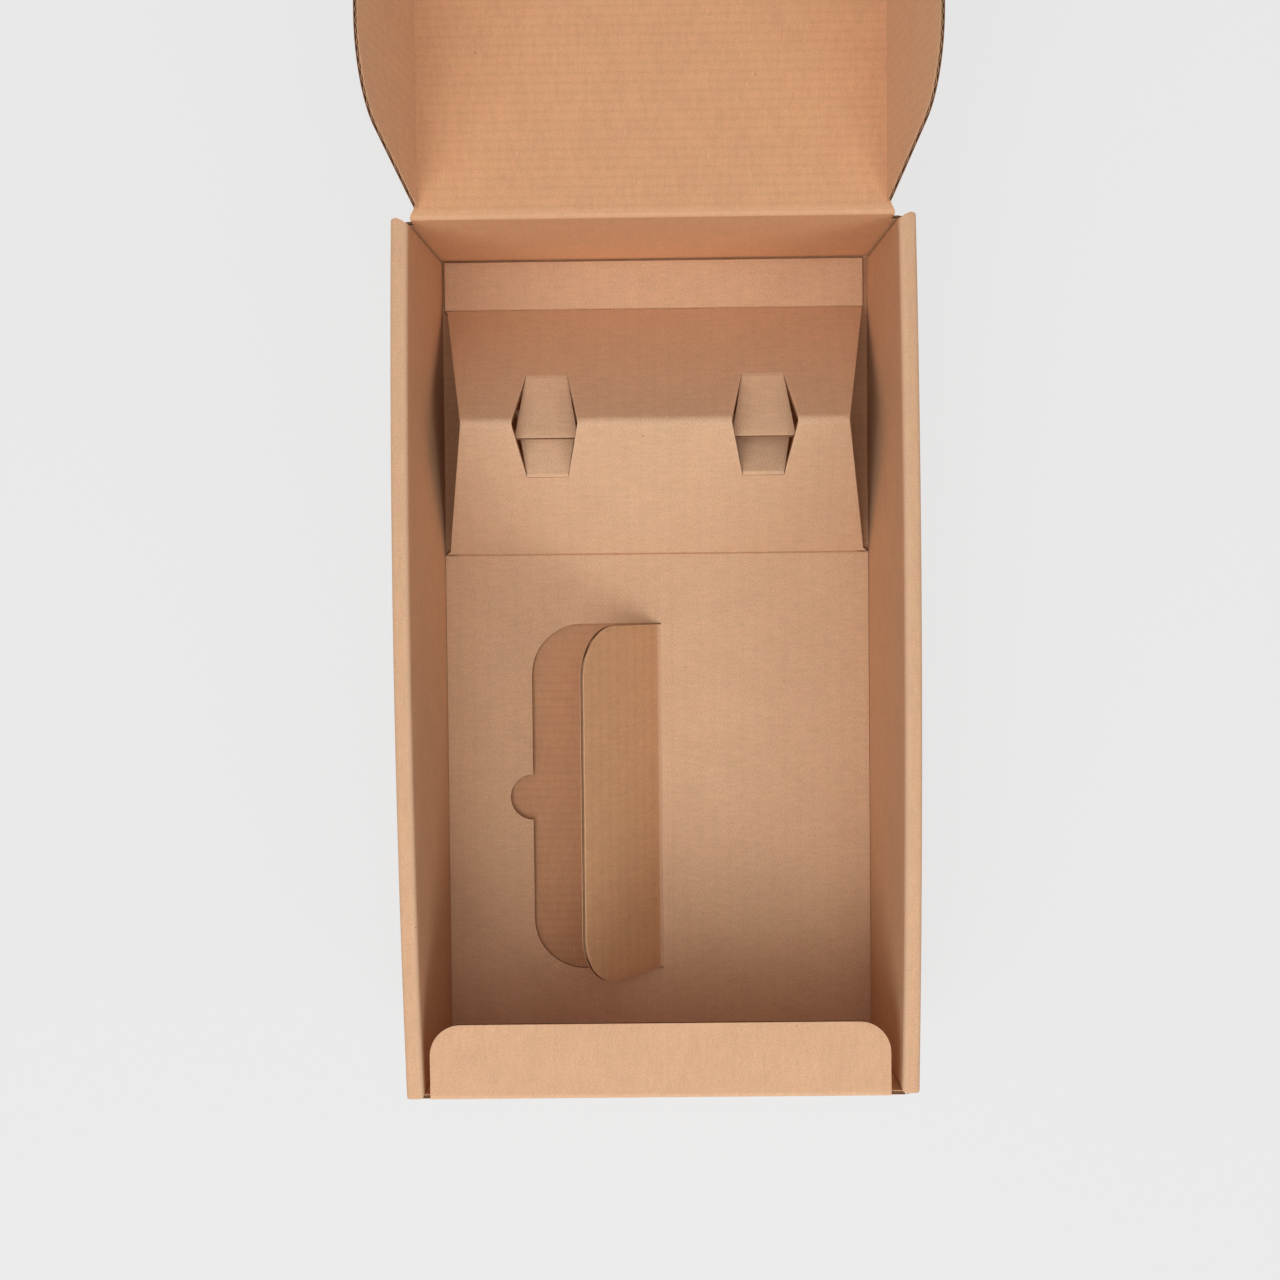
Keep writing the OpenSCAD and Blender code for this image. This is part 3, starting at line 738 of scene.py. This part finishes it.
closing = {
    "half": 85.5, "depth": 38.0, "radius": 12.0, "rise": 70.0, "root": 1.2, "columns": 25,
    "foldWearAndHighlight": 0.9, "wearAndHighlight": 1.0, "reach": 1.2, "blend": 0.9,
}


# half-width of a flap at a depth: full, then round the corners
def flapHalf(depth, half, full, radius):
    past = np.clip(depth - (full - radius), 0, radius)
    return half - radius + np.sqrt(radius ** 2 - past ** 2)


def flapGrid(shape, row):
    quarter = np.sin(np.linspace(0, math.pi / 2, 13))
    turn = shape["depth"] - shape["radius"] + shape["radius"] * quarter
    rowsAt = fillIn([shape["root"], shape["depth"] - edgeStep, *turn], row)
    halfAt = flapHalf(rowsAt, shape["half"], shape["depth"], shape["radius"])
    edgeShare = edgeStep / shape["half"]
    columns = fillIn([-1, edgeShare - 1, 1 - edgeShare, 1], 2 / shape["columns"])
    return np.broadcast_arrays(halfAt[:, None] * columns, rowsAt[:, None])


# flap: a panel with round corners on a crease, blended from the sheet it folds from to the panel;
# dirA points into that sheet and outA off its upper face
def addFlap(name, board, shape, parent, root, along, out, up, dirA, outA, faces, creaseFaces, seeds, **bends):
    longWay, across = flapGrid(shape, board["row"])
    panel = cutBoard(
        name + "_panel", board, longWay, across, onPlane(root, along, out, up), faces,
        wornAndLit=shape["wearAndHighlight"] * nearFold(across, [shape["root"]], shape["foldWearAndHighlight"]),
        seed=seeds[0], joined=joinedAcross(shape["root"]))
    standFor(panel, name + "_flap", board, name + "_flap")
    crease = foldCrease(
        name + "_crease", board, root, along, dirA, out, outA, shape["reach"], shape["root"], shape["half"],
        creaseFaces, seeds[1], wearAndHighlight=shape["wearAndHighlight"], **bends)
    bridge(crease)


tip = math.radians(closing["rise"])
closeOut = math.cos(tip) * lidOut + math.sin(tip) * lidUp
closeIn = math.cos(tip) * lidUp - math.sin(tip) * lidOut
closeRoot = lidRoot + boxSize["lidLength"] * lidOut
addFlap(
    "closing", boxBoard, closing, "lid", closeRoot, acrossX, closeOut, closeIn, -lidOut, lidUp,
    boxFaces, boxFaces, seeds=(1.07, 1.13))

crease = foldCrease(
    "lid_crease", boxBoard, lidRoot, acrossX, -upZ, lidOut, -alongY,
    lidPanel["reach"], lidPanel["start"], lidPanel["hingeHalf"], boxFaces, 1.19, halfB=lidStartHalf)
bridge(
    crease)
print("lid made")

frontFlap = {
    "half": 88.0, "depth": 26.0, "radius": 12.0, "root": 0.95, "columns": 25,
    "foldWearAndHighlight": 0.9, "wearAndHighlight": 0.0, "reach": boxSize["frontAxisY"] - trayShell["frontStart"], "blend": 0.8,
}
frontRoot = np.array([0, boxSize["frontAxisY"], boxSize["frontAxisZ"]])
frontAcross, frontOut = np.array([1, frontSkew["slope"], 0]), np.array([-frontSkew["slope"], 1, 0])
addFlap(
    "front", boxBoard, frontFlap, "tray", frontRoot, frontAcross, frontOut, upZ, -frontOut, upZ,
    boxFaces[::-1], boxFaces[::-1], seeds=(1.31, 1.37))
print("front flap made")

insert = {
    "front": -165.4, "frontFoot": 41.9, "ridge": 93.15, "backFoot": 144.4, "back": 164.9,
    "level": 2.85, "top": 47.85, "fold": 2.4, "step": 1.6,
    "half": 89.6, "backHalf": {-1: 88.5, 1: 87.8}, "footHalf": 87.4, "ridgeHalf": 77.6,
    "restX": 44.0, "restHalf": 13.25, "restRoot": 8.5, "restReach": 20.0,
    "cutBack": 11.9, "cutFront": -135.4, "cutLeft": -53.5, "cutRight": 1.5, "cutRadius": 21.5, "thumb": 9.6,
    "scores": (4.3, 6.0), "scoreDepth": 0.2, "scoreWidth": 0.4, "scorePast": 1,
    "dent": 0.7, "dentWidth": 0.45, "curl": 1.2, "curlX": -58.0, "curlWidth": 20, "curlLength": 55,
    "foldReach": 2.4, "row": 4.0, "ridgeWearAndHighlight": 0.5, "ridgeWidth": 0.6, "besideWearAndHighlight": 0.3,
}
levelZ, frontFoot, ridge, backFoot = (insert[key] for key in ("level", "frontFoot", "ridge", "backFoot"))
restX, restReach = insert["restX"], insert["restReach"]
cutBack, cutFront, cutRight = insert["cutBack"], insert["cutFront"], insert["cutRight"]
insertLine = foldLine(
    [(insert["front"], levelZ), (frontFoot, levelZ), (ridge, insert["top"]),
     (backFoot, levelZ), (insert["back"], levelZ)],
    [insert["fold"]] * 3)


def lengthAtY(y):  # the insert's fold line never turns back, so a place along the tray gives the length
    return np.interp(y, insertLine["spot"][:, 0], insertLine["length"])


cutMiddle = (cutBack + cutFront) / 2
footSteps = [frontFoot + insert["step"], backFoot - insert["step"]]
restEnds = [ridge - restReach, ridge + restReach]
quarter = np.sin(np.linspace(0, math.pi / 2, 13)) * insert["cutRadius"]
halfTurn = np.sin(np.linspace(-math.pi / 2, math.pi / 2, 17)) * insert["thumb"]
keyY = np.concatenate([
    [insert["front"], frontFoot, ridge, backFoot, insert["back"]],
    footSteps, restEnds, cutMiddle + halfTurn,
    cutBack - insert["cutRadius"] + quarter, cutFront + insert["cutRadius"] - quarter,
    [insert["front"] + edgeStep, insert["back"] - edgeStep],
    [cutBack + edgeStep, cutFront - edgeStep]])
foldRows = roundFolds(insertLine, insert["foldReach"], 13)
rowsAt = fillIn(np.concatenate([lengthAtY(keyY), foldRows]), insert["row"])
rowY = onLine(insertLine, rowsAt)[0]


# half-width: full on the floor, tapering up to the ridge and down again to the strip at the back
def outerHalf(side):
    backHalf = insert["backHalf"][side]
    return np.interp(
        rowY,
        [frontFoot, footSteps[0], ridge, footSteps[1], backFoot],
        [insert["half"], insert["footHalf"], insert["ridgeHalf"], insert["footHalf"], backHalf])


# half-width of a neck rest: from the roots of its two tabs it widens evenly to the ridge
fromRoot = np.clip(1 - np.abs(rowY - ridge) / restReach, 0, 1)
restHalf = insert["restRoot"] + (insert["restHalf"] - insert["restRoot"]) * fromRoot


# left edge of the divider's cut-out: straight, rounded at both ends, with a half-round thumb notch in the middle
def cutEdge(y):
    radius = insert["cutRadius"]
    past = np.maximum(np.abs(y - cutMiddle) - (cutBack - cutMiddle - radius), 0)
    corner = insert["cutLeft"] + radius - np.sqrt(np.maximum(radius ** 2 - past ** 2, 0))
    return corner - np.sqrt(np.maximum(insert["thumb"] ** 2 - (y - cutMiddle) ** 2, 0))


# five bands of columns between six edges, which pass from those of the cut-out to those of the neck rests
toRest = np.clip((rowY - cutBack) / (restEnds[0] - cutBack), 0, 1)
leftEdge = cutEdge(np.clip(rowY, cutFront, cutBack))
edges = np.stack([
    -outerHalf(-1),
    (1 - toRest) * leftEdge + toRest * (-restX - restHalf),
    (1 - toRest) * cutRight + toRest * (-restX + restHalf),
    restX - restHalf,
    restX + restHalf,
    outerHalf(1)], 1)
fine = np.concatenate([np.linspace(0, 0.19, 21), np.linspace(0.22, 1, 27)])  # close columns for the score lines
shares = [np.linspace(0, 1, 37), np.linspace(0, 1, 50), fine, np.linspace(0, 1, 24), np.linspace(0, 1, 37)]
bands = []
for k, share in enumerate(shares):
    left, right = edges[:, k:k + 1], edges[:, k + 1:k + 2]
    bands.append(left + (right - left) * (share if k == len(shares) - 1 else share[:-1]))
bandOf = np.concatenate([np.full(len(share) - 1, k) for k, share in enumerate(shares)])
along, across = np.broadcast_arrays(rowsAt[:, None], np.concatenate(bands, 1))
middleY = middles(rowY)
inRest = np.abs(middleY - ridge) < restReach
inCut = (middleY > cutFront) & (middleY < cutBack)
keep = ~((inRest[:, None] & ((bandOf == 1) | (bandOf == 3))) | (inCut[:, None] & (bandOf == 1)))


def placeInsert(a, b):  # the floor curls up a little beside the divider's cut-out, as a bell in both directions
    y, z, ny, nz = onLine(insertLine, a)
    offX, offY = (b - insert["curlX"]) / insert["curlWidth"], (y - cutMiddle) / insert["curlLength"]
    z = z + insert["curl"] * np.exp(-offX ** 2 - offY ** 2)
    return np.stack([b, y, z], 1), np.stack([np.zeros(len(a)), ny, nz], 1)


# two pressed lines beside the divider's crease, and one in the fold at each foot of the ridge
def scoreLines(a, b):
    y = onLine(insertLine, a)[0]
    beside = (y > cutFront - insert["scorePast"]) & (y < cutBack + insert["scorePast"])
    pressed = beside * nearFold(b, insert["scores"], insert["scoreWidth"])
    dented = nearFold(a, insertLine["folds"][[0, 2]], insert["dentWidth"])
    return insert["scoreDepth"] * pressed + insert["dent"] * dented


def insertJoined(a, b):  # the divider's crease and the creases of the neck tabs are no cut edges
    y = onLine(insertLine, a)[0]
    inside = (y > cutFront + hair) & (y < cutBack - hair)
    atCrease = (np.abs(b - cutRight) < hair) & inside
    return atCrease | (np.abs(np.abs(y - ridge) - restReach) < hair)


besideY = (rowY[:, None] > cutFront) & (rowY[:, None] < cutBack)
beside = besideY & (across > cutRight) & (across < insert["scores"][1])
onRidge = nearFold(along, insertLine["folds"][1:2], insert["ridgeWidth"])
# pale bands on the ridge and beside the divider's crease: wear and a painted highlight
piece = cutBoard(
    "insert_sheet", insertBoard, along, across, placeInsert, insertFaces, keep,
    np.maximum(insert["ridgeWearAndHighlight"] * onRidge, insert["besideWearAndHighlight"] * beside),
    seed=1.53, scored=scoreLines, joined=insertJoined)
standFor(piece, "tray", insertBoard, "bottle_insert")

# neck tabs: one from each side of a neck rest, folded in under the bottle's neck
neckTab = {
    "rootHalf": 8.5, "tipHalf": 12.75, "length": 26.62, "root": 0.9, "z": 30.29,
    "row": 3.0, "columns": 27, "reach": 0.6,
    "rise": {"back_left": 17.0, "back_right": 17.0, "front_left": 0.0, "front_right": -20.0},
}
slopeDir = math.atan2(insert["top"] - levelZ, ridge - frontFoot)
rowsAt = fillIn([neckTab["root"], neckTab["length"] - edgeStep, neckTab["length"]], neckTab["row"])
halfAt = np.interp(rowsAt, [0, neckTab["length"]], [neckTab["rootHalf"], neckTab["tipHalf"]])
along, across = np.broadcast_arrays(
    rowsAt[:, None], halfAt[:, None] * np.linspace(-1, 1, neckTab["columns"]))
for side, sideName in sideNames:
    for end, endName in ((1, "back"), (-1, "front")):
        x = side * restX
        rise = math.radians(neckTab["rise"][f"{endName}_{sideName}"])
        root = np.array([x, ridge + end * restReach, neckTab["z"]])
        out = np.array([0, -end * math.cos(rise), math.sin(rise)])
        up = np.array([0, end * math.sin(rise), math.cos(rise)])
        seed = 1.6 + 0.01 * x + 0.1 * end
        piece = cutBoard(
            f"{endName}_{sideName}_neck_tab", insertBoard, along, across, onPlane(root, out, acrossX, up),
            insertFaces, seed=seed, joined=joinedAlong(neckTab["root"]))
        standFor(piece, "tray", insertBoard, "bottle_insert")
        down = np.array([0, end * math.cos(slopeDir), -math.sin(slopeDir)])
        panelUp = np.array([0, end * math.sin(slopeDir), math.cos(slopeDir)])
        crease = foldCrease(
            f"{endName}_{sideName}_neck_crease", insertBoard, root, acrossX, down, out, panelUp,
            neckTab["reach"], neckTab["root"], neckTab["rootHalf"], insertFaces, seed)
        standFor(crease, "tray", insertBoard)

# divider: cut out of the floor of the insert and raised on its crease
divider = {
    "half": 73.15, "depth": 53.0, "radius": 21.0, "rise": 55.0, "root": 1.5, "y": -61.75, "z": 3.15,
    "columns": 41, "foldWearAndHighlight": 1.0, "wearAndHighlight": 1.0, "reach": cutRight, "rounding": (1.8, 0.8), "blend": 1.3,
}
lift = math.radians(divider["rise"])
dividerRoot = np.array([0, divider["y"], divider["z"]])
dividerOut = np.array([-math.cos(lift), 0, math.sin(lift)])
dividerUp = np.array([math.sin(lift), 0, math.cos(lift)])
# the divider's upper face takes the darker divider liner: painted shade
addFlap(
    "divider", insertBoard, divider, "tray", dividerRoot, alongY, dividerOut, dividerUp, acrossX, upZ,
    (shadedDividerLiner, insertLiner), insertFaces, seeds=(1.91, 1.97),
    rounding=divider["rounding"], dropA=(levelZ - divider["z"]) * upZ)
print("insert made")

# lengths of the stage are metres
studio = {
    "floor": tint(235, 235, 235), "floorHalf": 6, "floorZ": -0.0004,
    "glow": 0.88, "rough": 0.9, "shine": 0.1, "world": 0.29, "aim": (0, 0, 0.05),
    "left": {"place": (-0.6, -0.7, 1.25), "size": 1.1, "power": 10.2},
    "right": {"place": (0.75, -0.9, 0.95), "size": 0.7, "power": 5.5},
    "top": {"place": (0.0, 0.0, 1.8), "size": 1.2, "power": 6.6},
}


# pale ground: shows part of its colour by itself to the camera, so the shadow on it stays light
def paleGround(name, colour, own):
    made, tree, shader = startMaterial(name)
    shader.inputs["Base Color"].default_value = colour
    shader.inputs["Roughness"].default_value = studio["rough"]
    shader.inputs["Specular IOR Level"].default_value = studio["shine"]
    glow = addNode(tree, "ShaderNodeEmission", {"Color": colour, "Strength": 1.0}).outputs[0]
    seen = addNode(tree, "ShaderNodeLightPath").outputs
    through = addMath(tree, "MAXIMUM", seen["Is Glossy Ray"], seen["Is Transmission Ray"])
    amount = addMath(tree, "MULTIPLY", addMath(tree, "MAXIMUM", seen["Is Camera Ray"], through), own)
    mixed = addNode(tree, "ShaderNodeMixShader", {0: amount, 1: shader.outputs[0], 2: glow}).outputs[0]
    tree.links.new(mixed, tree.nodes["Material Output"].inputs["Surface"])
    return made


ground = bpy.data.meshes.new("floor")
floorHalf, floorZ = studio["floorHalf"], studio["floorZ"]
floorCorners = [(x * floorHalf, y * floorHalf, floorZ) for x, y in ((-1, -1), (1, -1), (1, 1), (-1, 1))]
ground.from_pydata(floorCorners, [], [(0, 1, 2, 3)])
ground.materials.append(paleGround("paleFloor", studio["floor"], studio["glow"]))
floor = addObject("floor", ground)

world = bpy.data.worlds.new("studio")
bpy.context.scene.world = world
world.use_nodes = True
tree = world.node_tree
sky = tree.nodes["Background"]
sky.inputs["Color"].default_value = (1, 1, 1, 1)
sky.inputs["Strength"].default_value = studio["world"]
seen = addNode(tree, "ShaderNodeLightPath").outputs["Is Camera Ray"]
plain = addNode(tree, "ShaderNodeBackground", {"Color": studio["floor"], "Strength": 1.0}).outputs[0]
mixed = addNode(tree, "ShaderNodeMixShader", {0: seen, 1: sky.outputs[0], 2: plain}).outputs[0]
tree.links.new(mixed, tree.nodes["World Output"].inputs["Surface"])

for name in ("left", "right", "top"):  # soft boxes that look at the middle of the box
    lamp = bpy.data.lights.new(name + "Lamp", "AREA")
    lamp.size, lamp.energy = studio[name]["size"], studio[name]["power"]
    made = addObject(name + "Lamp", lamp)
    made.location = studio[name]["place"]
    # turned up from straight down by the angle of the aim, then round to its direction on the floor
    aim = np.array(studio["aim"]) - studio[name]["place"]
    made.rotation_euler = (math.acos(-aim[2] / np.linalg.norm(aim)), 0, math.atan2(-aim[0], aim[1]))
    made.visible_camera = False

shot = {"place": (0.00471, 0.02901, 0.75252), "turn": (-1.866, 0.909, -0.578), "lens": 49.57, "sensor": 36.0}
lens = bpy.data.cameras.new("camera")
lens.lens, lens.sensor_width = shot["lens"], shot["sensor"]
camera = addObject("camera", lens)
camera.location = shot["place"]
camera.rotation_euler = [math.radians(v) for v in shot["turn"]]
bpy.context.scene.camera = camera
bpy.context.scene.view_settings.view_transform = "Standard"
print("floor, light and camera made")
